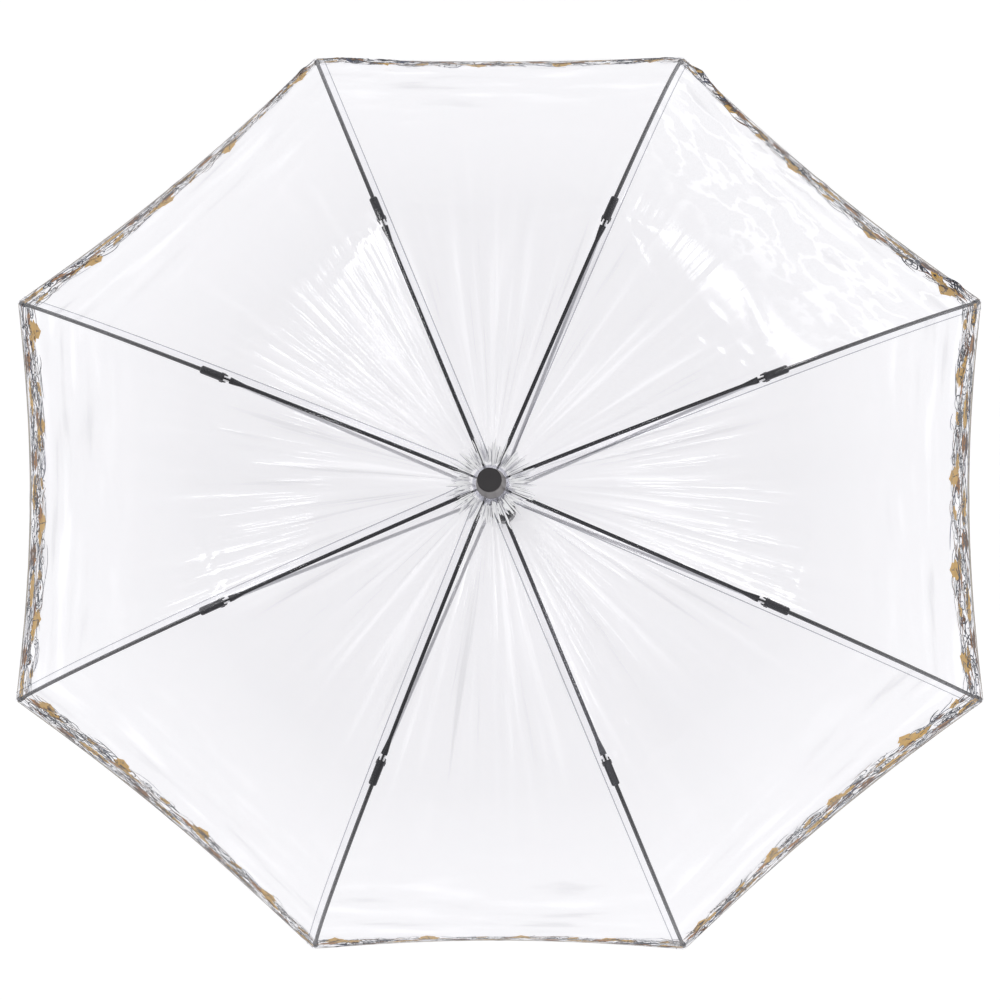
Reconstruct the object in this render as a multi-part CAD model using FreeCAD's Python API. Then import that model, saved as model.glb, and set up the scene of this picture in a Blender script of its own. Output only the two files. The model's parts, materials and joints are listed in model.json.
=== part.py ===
import FreeCAD, Part
import math
import os

from FreeCAD import Placement, Rotation, Vector

# Clear dome umbrella, standing open on a vertical shaft, in millimetres.
# The origin is the middle of the hand grip, on the shaft's axis. +Z runs up the shaft to the ferrule.
# Every rib is drawn once in its own upright plane (x outward from the shaft, y across the rib,
# z up) and then turned about the shaft to its place.

# ---- driving dimensions ----
RIB_COUNT = 8
FIRST_AZIMUTH = 22.5
CROWN_HEIGHT = 634.0  # the ribs' pivots in the crown notch
PIVOT_RADIUS = 10.0  # of the pivot circle in the crown notch and in the runner
RIB_REACH = 234.0  # crown pivot to joiner pivot, and joiner pivot to runner pivot
RIB_SLOPE = 30.0  # of the open rib's chord, in degrees below level
CLOSED_SLOPE = 87.5  # and of the closed rib's chord
RIB_BOW = 8.0  # each end of an inner rib turns this many degrees from its chord
ROD_LENGTH = 165.0  # of each half of an outer rod
SIDE_ROD_TURN = 27.0  # how far a whole outer rod bends, in degrees, on the four side ribs
END_ROD_TURN = 39.0  # and on the four ribs at the ends, where the rim is narrower

SHAFT_RADIUS = 5.0
SHAFT_WALL = 0.6
GRIP_LENGTH = 112.0
GRIP_RADIUS = 11.5
GRIP_FOOT_ROUND = 8.0
GRIP_TOP_ROUND = 4.0
SOCKET_FLOOR = -16.5  # the bottom of the grip's socket, which the shaft stands in
SHAFT_IN_FERRULE = 28.0
FERRULE_LENGTH = 63.0
FERRULE_BASE_RADIUS = 10.3
FERRULE_TIP_RADIUS = 8.0
FERRULE_BAND = 1.5  # the straight band around the ferrule's foot
CAP_HEIGHT = 3.5
CAP_SPIGOT_RADIUS = 6.0
CAP_SPIGOT_LENGTH = 8.0
CAP_BEVEL = 0.5
WASHER_RADIUS = 12.2
WASHER_HEIGHT = 1.2

FILM = 0.3
FILM_HOLE = SHAFT_RADIUS + 0.9  # around the shaft, under the washer
FILM_OVER_ROD = 4.0  # the film's outer face above the rod's axis
ROD_OVER_PIVOT = 3.5  # the rod's axis above the joiner pivot
FILM_OVER_PIVOT = FILM_OVER_ROD + ROD_OVER_PIVOT

CHANNEL = 1.3  # half the width and half the height of a rib's pressed channel
BLADE = 0.7  # half the thickness of a rib's flattened end
STRETCHER = 1.35  # half the width of a stretcher's channel
SHEET = 0.45  # the steel that the channels are pressed from
EYE_RADIUS = 2.1
WIRE_RADIUS = 0.5
EYE_HOLE = 0.6
RIVET_RADIUS = 0.8
RIVET_HOLE = 0.86
ROD_RADIUS = 1.5

NOTCH_RADIUS = 13.0
HUB_SLOT = 0.9  # half the width of the slots in the notch and the runner
HUB_SLOT_FLOOR = 6.8  # the slots' inner ends, from the shaft's axis
HUB_BEVEL = 1.0
FIT = 0.02  # radial room between pieces that are pressed or glued together
REST = 0.05  # room between pieces that rest on each other
RUNNER_BORE = SHAFT_RADIUS + 0.25
RUNNER_RADIUS = 8.2
RUNNER_LENGTH = 62.0

CATCH_HEIGHT = 16.0  # from a catch's pin to the edge that its shoulder holds
CATCH_REACH = 7.6  # how far the shoulder stands out from the shaft's axis
CATCH_ROOT = 1.6  # the leaf's radius around its pin
CATCH_HALF = 1.2  # half a catch's thickness
CATCH_ROOM = 0.3
WINDOW_TOP = 30.0  # the runner's window, below the runner's pivots
WINDOW_HEIGHT = 20.0
WINDOW_HALF = 2.0

AXIS = Vector(0, 0, 1)
ACROSS = Vector(0, 1, 0)


def outward(slope):
    """The direction square to a rib that slopes down by so many degrees, pointing out of the dome."""
    return Vector(math.sin(math.radians(slope)), 0, math.cos(math.radians(slope)))


class Bend:
    """A stretch of rib: an arc that leaves start at a slope and turns further down along its length."""

    def __init__(self, start, slope, length, turn):
        self.radius = length / math.radians(turn)
        self.first = slope
        self.last = slope + turn
        self.centre = start - outward(slope) * self.radius

    def at(self, slope, offset=0.0):
        return self.centre + outward(slope) * (self.radius + offset)

    def past(self, distance):
        """The slope this far along from the start."""
        return self.first + math.degrees(distance / self.radius)

    def before(self, distance):
        """The slope this far short of the end."""
        return self.last - math.degrees(distance / self.radius)

    def edge(self, offset, first, last):
        middle = (first + last) / 2
        return Part.Arc(self.at(first, offset), self.at(middle, offset), self.at(last, offset)).toShape()

    def bar(self, low, high, half_width, first, last):
        """A strip of the rib between two offsets, as wide as two half widths."""
        edges = [
            self.edge(high, first, last),
            Part.makeLine(self.at(last, high), self.at(last, low)),
            self.edge(low, last, first),
            Part.makeLine(self.at(first, low), self.at(first, high)),
        ]
        face = Part.Face(Part.Wire(edges))
        face.translate(ACROSS * -half_width)
        return face.extrude(ACROSS * 2 * half_width)

    def rod(self, radius, first, last):
        """A round rod along the arc."""
        ring = Part.makeCircle(radius, self.at(first), ACROSS.cross(outward(first)))
        return Part.Wire(self.edge(0, first, last)).makePipe(Part.Face(Part.Wire(ring)))


# ---- the ribs' lines ----
CROWN_PIVOT = Vector(PIVOT_RADIUS, 0, CROWN_HEIGHT)
BOW = math.radians(RIB_BOW)
INNER = Bend(CROWN_PIVOT, RIB_SLOPE - RIB_BOW, RIB_REACH * BOW / math.sin(BOW), 2 * RIB_BOW)
JOINER_SLOPE = INNER.last
JOINER_PIVOT = INNER.at(JOINER_SLOPE)
OPEN_DROP = 2 * RIB_REACH * math.sin(math.radians(RIB_SLOPE))
CLOSED_DROP = 2 * RIB_REACH * math.sin(math.radians(CLOSED_SLOPE))
RUNNER_HEIGHT = CROWN_HEIGHT - OPEN_DROP
CROWN_TOP = INNER.at(INNER.first, FILM_OVER_PIVOT).z


def outer_lines(rib):
    """The upper and lower halves of an outer rod."""
    turn = SIDE_ROD_TURN if rib in (1, 4, 5, 8) else END_ROD_TURN
    start = INNER.at(JOINER_SLOPE, ROD_OVER_PIVOT)
    upper = Bend(start, JOINER_SLOPE, ROD_LENGTH, turn / 2)
    lower = Bend(upper.at(upper.last), upper.last, ROD_LENGTH, turn / 2)
    return upper, lower


def azimuth(rib):
    return FIRST_AZIMUTH + (rib - 1) * 360.0 / RIB_COUNT


def at_rib(shape, rib):
    return shape.rotated(Vector(), AXIS, azimuth(rib))


def at_joiner(shape):
    """A shape drawn with x along the rod and z outward, put at the joiner pivot."""
    return shape.transformed(Placement(JOINER_PIVOT, Rotation(ACROSS, JOINER_SLOPE)).toMatrix())


def box(low, high):
    size = high - low
    return Part.makeBox(size.x, size.y, size.z, low)


def crosswise(x, z, radius, half_length):
    """A cylinder lying across the rib's plane."""
    return Part.makeCylinder(radius, 2 * half_length, Vector(x, -half_length, z), ACROSS)


def eye(point, radius, half_length):
    return crosswise(point.x, point.z, radius, half_length)


def turned(points):
    """A solid of revolution about the shaft, from a closed outline in x and z."""
    corners = [Vector(x, 0, z) for x, z in points]
    return Part.Face(Part.makePolygon(corners + corners[:1])).revolve(Vector(), AXIS, 360)


# ---- root: the shaft and what is fixed to it ----
TOP_CATCH_PIN = RUNNER_HEIGHT - WINDOW_TOP - CATCH_ROOM - CATCH_HEIGHT
BOTTOM_CATCH_PIN = TOP_CATCH_PIN - (CLOSED_DROP - OPEN_DROP)
CATCH_PINS = [TOP_CATCH_PIN, BOTTOM_CATCH_PIN]


def shaft_tube():
    """A thin steel tube with a slot through its wall for each catch."""
    foot = SOCKET_FLOOR + 0.5
    top = CROWN_TOP + SHAFT_IN_FERRULE
    half_slot = CATCH_HALF + CATCH_ROOM
    tube = Part.makeCylinder(SHAFT_RADIUS, top - foot, Vector(0, 0, foot))
    tube = tube.cut(Part.makeCylinder(SHAFT_RADIUS - SHAFT_WALL, top - foot, Vector(0, 0, foot)))
    for pin in CATCH_PINS:
        low = Vector(0, -half_slot, pin - 2 * CATCH_ROOT)
        high = Vector(CATCH_REACH, half_slot, pin + CATCH_HEIGHT + 2 * CATCH_ROOT)
        tube = tube.cut(box(low, high)).cut(crosswise(0, pin, RIVET_RADIUS + FIT, CATCH_REACH))
    return tube


def catch_pins():
    half_length = SHAFT_RADIUS - 0.1
    return Part.makeCompound([crosswise(0, pin, RIVET_RADIUS, half_length) for pin in CATCH_PINS])


def catch(pin):
    """A triangular spring leaf: a ramp for the runner to ride over, and a shoulder to hold it.

    The shoulder is an arc about the pin, so that the leaf springs in without lifting the runner."""
    shoulder = math.hypot(RUNNER_BORE, CATCH_HEIGHT)

    def on_shoulder(x):
        return Vector(x, 0, pin + math.sqrt(shoulder**2 - x**2))

    outside, middle, inside = on_shoulder(CATCH_REACH), on_shoulder(CATCH_REACH / 2), on_shoulder(0)
    nose = 3.0  # the upright face below the shoulder
    ramp_end = Vector(CATCH_REACH, 0, pin + CATCH_HEIGHT - nose)
    root_front = Vector(CATCH_ROOT, 0, pin)
    root_back = Vector(-CATCH_ROOT, 0, pin)
    edges = [
        Part.makeLine(root_back, root_front),
        Part.makeLine(root_front, ramp_end),
        Part.makeLine(ramp_end, outside),
        Part.Arc(outside, middle, inside).toShape(),
        Part.makeLine(inside, root_back),
    ]
    leaf = Part.Face(Part.Wire(edges)).extrude(ACROSS * 2 * CATCH_HALF)
    leaf.translate(ACROSS * -CATCH_HALF)
    leaf = leaf.fuse(crosswise(0, pin, CATCH_ROOT, CATCH_HALF))
    return leaf.cut(crosswise(0, pin, RIVET_HOLE, CATCH_HALF)).removeSplitter()


def handle_grip():
    """A straight moulded grip, round at its foot and eased at its top, with a blind socket for the shaft."""
    foot = -GRIP_LENGTH / 2
    grip = Part.makeCylinder(GRIP_RADIUS, GRIP_LENGTH, Vector(0, 0, foot))
    grip = grip.makeFillet(GRIP_FOOT_ROUND, [edge for edge in grip.Edges if edge.BoundBox.ZMax < foot + 1])
    grip = grip.makeFillet(GRIP_TOP_ROUND, [edge for edge in grip.Edges if edge.BoundBox.ZMin > -foot - 1])
    return grip.cut(Part.makeCylinder(SHAFT_RADIUS + FIT, GRIP_LENGTH, Vector(0, 0, SOCKET_FLOOR)))


def hub_slot(rib, low, high):
    """The slot that a rib's or a stretcher's flat end turns in, from one height to another."""
    slot = box(Vector(HUB_SLOT_FLOOR, -HUB_SLOT, low), Vector(NOTCH_RADIUS + 2, HUB_SLOT, high))
    return at_rib(slot, rib)


def wire_groove(height, mouth):
    """A ring-shaped groove for the wire, open towards mouth, which is above or below the pivots."""
    groove = Part.makeTorus(PIVOT_RADIUS, WIRE_RADIUS + REST, Vector(0, 0, height), AXIS)
    outer = PIVOT_RADIUS + WIRE_RADIUS + REST
    inner = PIVOT_RADIUS - WIRE_RADIUS - REST
    low = min(height, mouth)
    depth = abs(mouth - height)
    ring = Part.makeCylinder(outer, depth, Vector(0, 0, low))
    ring = ring.cut(Part.makeCylinder(inner, depth, Vector(0, 0, low)))
    return groove.fuse(ring)


def wire_ring(height):
    return Part.makeTorus(PIVOT_RADIUS, WIRE_RADIUS, Vector(0, 0, height), AXIS)


def crown_notch():
    """The slotted wheel on top of the shaft, which the ribs hang from, with a collar below it."""
    low, high = CROWN_HEIGHT - 4.5, CROWN_TOP - FILM - 0.3
    bore = SHAFT_RADIUS + FIT
    collar = bore + 1.4
    collar_foot = low - 5
    eased = 2.0  # the wheel's upper edge, where the film turns down over it
    wheel = turned(
        [
            (bore, collar_foot),
            (collar, collar_foot),
            (collar, low),
            (NOTCH_RADIUS - HUB_BEVEL, low),
            (NOTCH_RADIUS, low + HUB_BEVEL),
            (NOTCH_RADIUS, high - eased),
            (NOTCH_RADIUS - eased, high),
            (bore, high),
        ]
    )
    slot_top = CROWN_HEIGHT + 3.4
    for rib in range(1, RIB_COUNT + 1):
        wheel = wheel.cut(hub_slot(rib, collar_foot, slot_top))
    return wheel.cut(wire_groove(CROWN_HEIGHT, low - 1))


def crown_washer():
    """The disc that covers the film's hole, bevelled down to its rim."""
    foot = CROWN_TOP + REST
    top = foot + WASHER_HEIGHT
    bore = SHAFT_RADIUS + FIT
    rim_top = foot + WASHER_HEIGHT / 2
    return turned(
        [
            (bore, foot),
            (WASHER_RADIUS, foot),
            (WASHER_RADIUS, rim_top),
            (WASHER_RADIUS - WASHER_HEIGHT, top),
            (bore, top),
        ]
    )


FERRULE_FOOT = CROWN_TOP + WASHER_HEIGHT + 2 * REST


def ferrule():
    """A tapered sleeve over the top of the shaft, bored out above it for the cap's spigot."""
    top = FERRULE_FOOT + FERRULE_LENGTH
    bore = SHAFT_RADIUS + FIT
    ledge = CROWN_TOP + SHAFT_IN_FERRULE + 3
    hollow = CAP_SPIGOT_RADIUS + 0.1
    return turned(
        [
            (bore, FERRULE_FOOT),
            (FERRULE_BASE_RADIUS, FERRULE_FOOT),
            (FERRULE_BASE_RADIUS, FERRULE_FOOT + FERRULE_BAND),
            (FERRULE_TIP_RADIUS + 0.15, top),
            (hollow, top),
            (hollow, ledge),
            (bore, ledge),
        ]
    )


def ferrule_cap():
    """A bevelled disc on top of the ferrule, with a spigot that reaches down into it."""
    low = FERRULE_FOOT + FERRULE_LENGTH + REST
    high = low + CAP_HEIGHT
    return turned(
        [
            (0, low - CAP_SPIGOT_LENGTH),
            (CAP_SPIGOT_RADIUS, low - CAP_SPIGOT_LENGTH),
            (CAP_SPIGOT_RADIUS, low),
            (FERRULE_TIP_RADIUS, low),
            (FERRULE_TIP_RADIUS, high - CAP_BEVEL),
            (FERRULE_TIP_RADIUS - CAP_BEVEL, high),
            (0, high),
        ]
    )


# ---- the runner ----
def runner():
    """A sleeve that slides on the shaft, with a slotted head for the stretchers and a window for the catches."""
    foot = RUNNER_HEIGHT - RUNNER_LENGTH
    head_low, head_high = RUNNER_HEIGHT - 5.5, RUNNER_HEIGHT + 4.5
    neck = 4.0  # the cone under the head
    flange = RUNNER_RADIUS + 3  # the ring that the fingers push against
    flange_high = foot + 4
    sleeve = turned(
        [
            (RUNNER_BORE, foot),
            (flange - HUB_BEVEL, foot),
            (flange, foot + HUB_BEVEL),
            (flange, flange_high),
            (RUNNER_RADIUS, flange_high + 3),
            (RUNNER_RADIUS, head_low - neck),
            (NOTCH_RADIUS, head_low),
            (NOTCH_RADIUS, head_high - HUB_BEVEL),
            (NOTCH_RADIUS - HUB_BEVEL, head_high),
            (RUNNER_BORE, head_high),
        ]
    )
    slot_floor = RUNNER_HEIGHT - 3.4
    for rib in range(1, RIB_COUNT + 1):
        sleeve = sleeve.cut(hub_slot(rib, slot_floor, head_high + 1))
    sleeve = sleeve.cut(wire_groove(RUNNER_HEIGHT, head_high + 1))
    window_high = RUNNER_HEIGHT - WINDOW_TOP
    low = Vector(0, -WINDOW_HALF, window_high - WINDOW_HEIGHT)
    return sleeve.cut(box(low, Vector(NOTCH_RADIUS, WINDOW_HALF, window_high)))


# ---- a rib's pieces, each in the rib's own plane ----
def channel(bend, half_width, web_low, web_high, first, last):
    """A pressed channel: a web with two walls, open on the side away from the web."""
    outside = bend.bar(-CHANNEL, CHANNEL, half_width, first, last)
    inside = bend.bar(web_low, web_high, half_width - SHEET, first - 1, last + 1)
    return outside.cut(inside)


FLAT_END = 14.0  # how much of each end of a rib or stretcher is pressed flat
FLAT_OVERLAP = 2.0  # how far the flat end runs on into the channel


def inner_rib():
    """A bowed channel with a flat eyed end at the crown and another at the joiner."""
    first, last = INNER.past(FLAT_END), INNER.before(FLAT_END)
    flat = FLAT_END + FLAT_OVERLAP
    rib = channel(INNER, CHANNEL, -CHANNEL - 1, CHANNEL - SHEET, first, last)
    rib = rib.fuse(INNER.bar(-CHANNEL, CHANNEL, BLADE, INNER.first, INNER.past(flat)))
    rib = rib.fuse(INNER.bar(-CHANNEL, CHANNEL, BLADE, INNER.before(flat), INNER.last))
    rib = rib.fuse(eye(CROWN_PIVOT, EYE_RADIUS, BLADE))
    rib = rib.fuse(eye(JOINER_PIVOT, EYE_RADIUS, BLADE))
    rib = rib.fuse(flared_sleeve())
    rib = rib.cut(eye(CROWN_PIVOT, EYE_HOLE, BLADE + 1))
    rib = rib.cut(eye(JOINER_PIVOT, RIVET_HOLE, BLADE + 1))
    return rib.removeSplitter()


def flared_sleeve():
    """Where the channel is crimped wider, just short of the joiner."""
    narrow_end, wide_end = 25.0, 10.0  # short of the joiner pivot
    start = section(INNER.before(narrow_end), CHANNEL, CHANNEL)
    end = section(INNER.before(wide_end), 2.4, 2.0)
    return Part.makeLoft([start, end], True, True)


def section(slope, half_width, half_height):
    """A rectangle square to the inner rib."""
    up = outward(slope) * half_height
    side = ACROSS * half_width
    here = INNER.at(slope)
    return Part.makePolygon([here - side - up, here + side - up, here + side + up, here - side + up, here - side - up])


HOOD_HALF = 3.0  # half the width of a joiner's hood
HOOD_RISE = 2.4  # half its height, about the rod's axis
HOOD_TAIL = -6.5  # along the rod, from the joiner pivot
HOOD_NOSE = 17.0
CHEEK_RADIUS = 2.7  # of the two cheeks that hold the rivet


def rib_joiner(upper):
    """The pressed hood that grips the outer rod and carries the rivet, with the rivet as its second solid."""
    top, floor = ROD_OVER_PIVOT + HOOD_RISE, ROD_OVER_PIVOT - HOOD_RISE
    room_half, room_end = 2.0, 4.5  # inside, for the inner rib's and the stretcher's ends
    hood = box(Vector(HOOD_TAIL, -HOOD_HALF, floor), Vector(HOOD_NOSE, HOOD_HALF, top))
    hood = hood.fuse(crosswise(HOOD_NOSE, ROD_OVER_PIVOT, HOOD_RISE, HOOD_HALF)).removeSplitter()
    long_edges = [e for e in hood.Edges if e.BoundBox.ZMin > top - 0.01 and e.BoundBox.XLength > HOOD_NOSE / 2]
    hood = hood.makeFillet(HOOD_HALF / 2, long_edges)
    cheeks = box(Vector(-CHEEK_RADIUS, -HOOD_HALF, 0), Vector(CHEEK_RADIUS, HOOD_HALF, floor + 0.5))
    hood = hood.fuse(cheeks).fuse(crosswise(0, 0, CHEEK_RADIUS, HOOD_HALF))
    room = box(Vector(HOOD_TAIL - 1, -room_half, -CHEEK_RADIUS - 1), Vector(room_end, room_half, top - 1))
    hood = hood.cut(room).cut(crosswise(0, 0, RIVET_RADIUS + FIT, HOOD_HALF + 1))
    hood = at_joiner(hood)
    hood = hood.cut(upper.rod(ROD_RADIUS + FIT, upper.past(2), upper.past(HOOD_NOSE + HOOD_RISE + 4)))
    return Part.makeCompound([hood.removeSplitter(), at_joiner(joiner_rivet())])


def joiner_rivet():
    """A pin through both cheeks, with a flat head outside each."""
    head_radius, head = 1.5, 0.5
    rivet = crosswise(0, 0, RIVET_RADIUS, HOOD_HALF + head)
    for side in (-1, 1):
        foot = Vector(0, side * (HOOD_HALF + FIT), 0)
        rivet = rivet.fuse(Part.makeCylinder(head_radius, head, foot, ACROSS * side))
    return rivet.removeSplitter()


def outer_rod(upper):
    """The upper half of a rod, from inside the joiner to a rounded end."""
    in_joiner = 5.0
    ball = Part.makeSphere(ROD_RADIUS, upper.at(upper.last))
    return upper.rod(ROD_RADIUS, upper.past(in_joiner), upper.last).fuse(ball).removeSplitter()


def rod_end(lower):
    """The lower half of a rod, dished where it meets the upper half, and the cap on its tip."""
    cap_length, cap_radius, tip_radius = 9.0, 2.3, 2.6
    rod = lower.rod(ROD_RADIUS, lower.first, lower.before(1))
    rod = rod.cut(Part.makeSphere(ROD_RADIUS + 0.1, lower.at(lower.first)))
    cap = lower.rod(cap_radius, lower.before(cap_length), lower.last)
    cap = cap.fuse(Part.makeSphere(tip_radius, lower.at(lower.last)))
    cap = cap.cut(lower.rod(ROD_RADIUS + FIT, lower.before(cap_length + 1), lower.before(1)))
    return Part.makeCompound([rod, cap.removeSplitter()])


def stretcher():
    """A straight channel from the joiner pivot to the runner, forked at the joiner and flat at the runner."""
    fork = 6.0
    inside = STRETCHER - SHEET
    channel_end = RIB_REACH - FLAT_END
    plug_start = channel_end - FLAT_OVERLAP
    bar = box(Vector(0, -STRETCHER, -CHANNEL), Vector(channel_end, STRETCHER, CHANNEL))
    bar = bar.fuse(crosswise(0, 0, EYE_RADIUS, STRETCHER))
    bar = bar.cut(box(Vector(-4, -inside, -CHANNEL - 1), Vector(RIB_REACH, inside, CHANNEL - SHEET)))
    bar = bar.cut(box(Vector(-4, -inside, -CHANNEL - 1), Vector(fork, inside, CHANNEL + 1)))
    bar = bar.fuse(box(Vector(plug_start, -STRETCHER, -CHANNEL), Vector(channel_end, STRETCHER, CHANNEL)))
    bar = bar.fuse(box(Vector(plug_start, -BLADE, -CHANNEL), Vector(RIB_REACH, BLADE, CHANNEL)))
    bar = bar.fuse(crosswise(RIB_REACH, 0, EYE_RADIUS, BLADE))
    bar = bar.cut(crosswise(RIB_REACH, 0, EYE_HOLE, STRETCHER))
    bar = bar.cut(crosswise(0, 0, RIVET_HOLE, STRETCHER + 1)).removeSplitter()
    return bar.transformed(Placement(JOINER_PIVOT, Rotation(ACROSS, 180 - RIB_SLOPE)).toMatrix())


# ---- the canopy ----
def film_section(rib):
    """The film's cut edge along one rib: down over the inner rib and the rod, and back along its inner face."""
    upper, lower = outer_lines(rib)
    stretches = [(INNER, FILM_OVER_PIVOT), (upper, FILM_OVER_ROD), (lower, FILM_OVER_ROD)]
    crown = INNER.at(INNER.first, FILM_OVER_PIVOT)
    crown_under = INNER.at(INNER.first, FILM_OVER_PIVOT - FILM)
    edges = [Part.makeLine(Vector(FILM_HOLE, 0, crown.z), crown)]
    edges += [bend.edge(offset, bend.first, bend.last) for bend, offset in stretches]
    hem = lower.at(lower.last, FILM_OVER_ROD)
    edges.append(Part.makeLine(hem, lower.at(lower.last, FILM_OVER_ROD - FILM)))
    edges += [bend.edge(offset - FILM, bend.last, bend.first) for bend, offset in reversed(stretches)]
    edges.append(Part.makeLine(crown_under, Vector(FILM_HOLE, 0, crown_under.z)))
    edges.append(Part.makeLine(Vector(FILM_HOLE, 0, crown_under.z), Vector(FILM_HOLE, 0, crown.z)))
    return at_rib(Part.Wire(edges), rib)


def canopy_gore(rib):
    """The film panel between this rib and the next."""
    following = rib % RIB_COUNT + 1
    return Part.makeLoft([film_section(rib), film_section(following)], True, True)


# ---- write the parts ----
os.makedirs("parts", exist_ok=True)


def write(name, shape):
    if not shape.isValid():
        print("not valid:", name)
    shape.exportStep("parts/" + name + ".step")


write("shaft_tube", shaft_tube())
write("catch_pins", catch_pins())
write("top_catch", catch(CATCH_PINS[0]))
write("bottom_catch", catch(CATCH_PINS[1]))
write("handle_grip", handle_grip())
write("crown_notch", crown_notch())
write("crown_wire", wire_ring(CROWN_HEIGHT))
write("crown_washer", crown_washer())
write("ferrule", ferrule())
write("ferrule_cap", ferrule_cap())
write("runner", runner())
write("runner_wire", wire_ring(RUNNER_HEIGHT))

for rib in range(1, RIB_COUNT + 1):
    upper, lower = outer_lines(rib)
    number = str(rib)
    write("inner_rib_" + number, at_rib(inner_rib(), rib))
    write("rib_joiner_" + number, at_rib(rib_joiner(upper), rib))
    write("outer_rod_" + number, at_rib(outer_rod(upper), rib))
    write("rod_end_" + number, at_rib(rod_end(lower), rib))
    write("stretcher_" + number, at_rib(stretcher(), rib))
    write("canopy_gore_" + number, canopy_gore(rib))
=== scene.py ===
import bpy
import json
import math

import numpy as np
from mathutils import Matrix, Vector


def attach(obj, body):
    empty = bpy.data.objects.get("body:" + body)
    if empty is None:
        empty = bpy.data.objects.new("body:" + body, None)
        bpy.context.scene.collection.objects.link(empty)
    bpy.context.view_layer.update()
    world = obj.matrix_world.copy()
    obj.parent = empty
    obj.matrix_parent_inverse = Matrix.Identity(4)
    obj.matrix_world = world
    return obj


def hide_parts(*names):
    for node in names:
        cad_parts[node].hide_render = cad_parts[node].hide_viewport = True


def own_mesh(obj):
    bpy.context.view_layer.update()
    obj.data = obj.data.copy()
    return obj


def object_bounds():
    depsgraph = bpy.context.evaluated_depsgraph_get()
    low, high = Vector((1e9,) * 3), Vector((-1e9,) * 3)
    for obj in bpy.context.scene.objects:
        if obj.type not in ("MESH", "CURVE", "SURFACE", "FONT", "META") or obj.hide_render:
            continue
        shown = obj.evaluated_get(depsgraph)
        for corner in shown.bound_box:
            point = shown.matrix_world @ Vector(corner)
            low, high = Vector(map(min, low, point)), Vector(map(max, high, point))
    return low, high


# A clear dome umbrella, seen from above its ferrule. Metres, degrees, +Z up the shaft.
# The film is drawn whole, gore by gore, and then cut into the pieces that ride on the ribs.

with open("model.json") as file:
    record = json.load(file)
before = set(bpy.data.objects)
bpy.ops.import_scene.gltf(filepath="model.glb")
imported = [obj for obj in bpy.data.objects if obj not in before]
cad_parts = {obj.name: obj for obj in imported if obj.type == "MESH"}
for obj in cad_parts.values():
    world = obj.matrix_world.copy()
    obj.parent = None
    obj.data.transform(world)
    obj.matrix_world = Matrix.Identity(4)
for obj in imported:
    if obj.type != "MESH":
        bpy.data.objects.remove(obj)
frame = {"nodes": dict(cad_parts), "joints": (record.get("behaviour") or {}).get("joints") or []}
cad_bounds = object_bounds()
nodes = frame["nodes"]
JOINTS = {joint["name"]: Vector(joint["pos_m"]) for joint in frame["joints"]}

RIB_COUNT = 8
RIBS = range(1, RIB_COUNT + 1)
MM = 0.001
FIRST_AZIMUTH = 22.5
AZIMUTH_STEP = 360.0 / RIB_COUNT
RIB_BOW = 8.0  # an inner rib's ends turn this far from its chord
ROD_OVER_PIVOT = 3.5 * MM
FILM_OVER_ROD = 3.85 * MM  # the middle of the film's thickness
FILM_HOLE = 5.9 * MM
HEM_SCALLOP = 7.0 * MM  # how far the hem rises between two ribs
SCALLOP_START = 0.75  # this and the next two are shares of the seam's length
SAG_START = 0.45
TUCKED_SAG_START = 0.84
HEM_SAG = {1: 6.0, 2: 3.0, 3: 6.0, 4: 9.0, 5: 5.0, 6: 6.5, 7: 5.0, 8: 9.0}  # mm inwards, by gore
TUCKED_GORE = 6  # its hem turns in sharply, and the others' only slowly
LOOSE_GORE = 1  # the most crumpled

# creases and ripples in the film
WRINKLE_SCALE = {1: 2.2, 2: 1.4, 3: 1.3, 4: 1.0, 5: 0.7, 6: 0.7, 7: 0.9, 8: 1.0}  # by gore
ANY_PHASE = 6.28  # radians, nearly a full turn
CREASE_FOOT = 0.4  # a crease's width at its start, as a share of its full width
HEM_FAN = {  # turns in degrees, sizes in mm; hand is the way that the folds turn
    "folds": 4, "first": 18, "step": 17, "sway": 5, "hand": -1,
    "length": (90, 190), "width": (3.5, 7), "height": (0.6, 1.5),
}
JOINER_FAN = {
    "folds": 3, "first": -25, "step": 32, "sway": 7, "hand": 1,
    "length": (50, 120), "width": (3, 6), "height": (0.3, 0.8),
}
LONG_RIPPLE = 46 * MM
SHORT_RIPPLE = 29 * MM
RIPPLE_BEND = 12 * MM  # how far the ripples swing up and down the film
RIPPLE_HEIGHT = 0.30 * MM
MIDDLE_FOLD = (0.5 * MM, 2.5 * MM)  # height and width of the fold down a gore's middle
PLEAT_HEIGHT = 1.0 * MM
PLEAT_WAVES = (7, 11, 17)

FOLDS_PER_HALF = 7  # pinched folds around the ferrule, in half a gore, each drawn as a painted highlight with a painted shaded edge
FOLD_POINTS = 7  # along each of them
SEAM_OVERLAP = 6.0  # mm of doubled film beside a rib
SEAM_CUT_EDGE = 0.8  # mm more: the cut edge, drawn as a grey line of painted shade
SEAM_LIFT = 0.35  # mm above the film
ROWS_UNDER_WASHER = 3  # of film, which the seam strips leave free
FOLD_LIFT = 0.3 * MM

HALF_COLUMNS = 28  # across half a gore
CROWN_CROWDING = 1.35  # draws the rows together towards the crown
GORE_PITCH = 4  # between two gores' places in the UV map, where each is 2 wide
LEVEL_ROWS = (46, 26, 28)  # along the inner rib, the upper half of the rod and the lower half
LEVEL_BODIES = ("rib", "rod", "rod_end")
LEVEL_NAMES = ("top", "middle", "hem")
LEVELS = range(3)
SIDES = {"after": 1, "before": -1}  # a rib's film lies on both sides of it


# ---- the ribs' side view: x is the distance from the shaft, y the height ----
def radial(point):
    return np.array([math.hypot(point.x, point.y), point.z])


def outward(slope):
    """The direction square to a line that slopes down by so many degrees."""
    return np.array([math.sin(math.radians(slope)), math.cos(math.radians(slope))])


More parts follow.
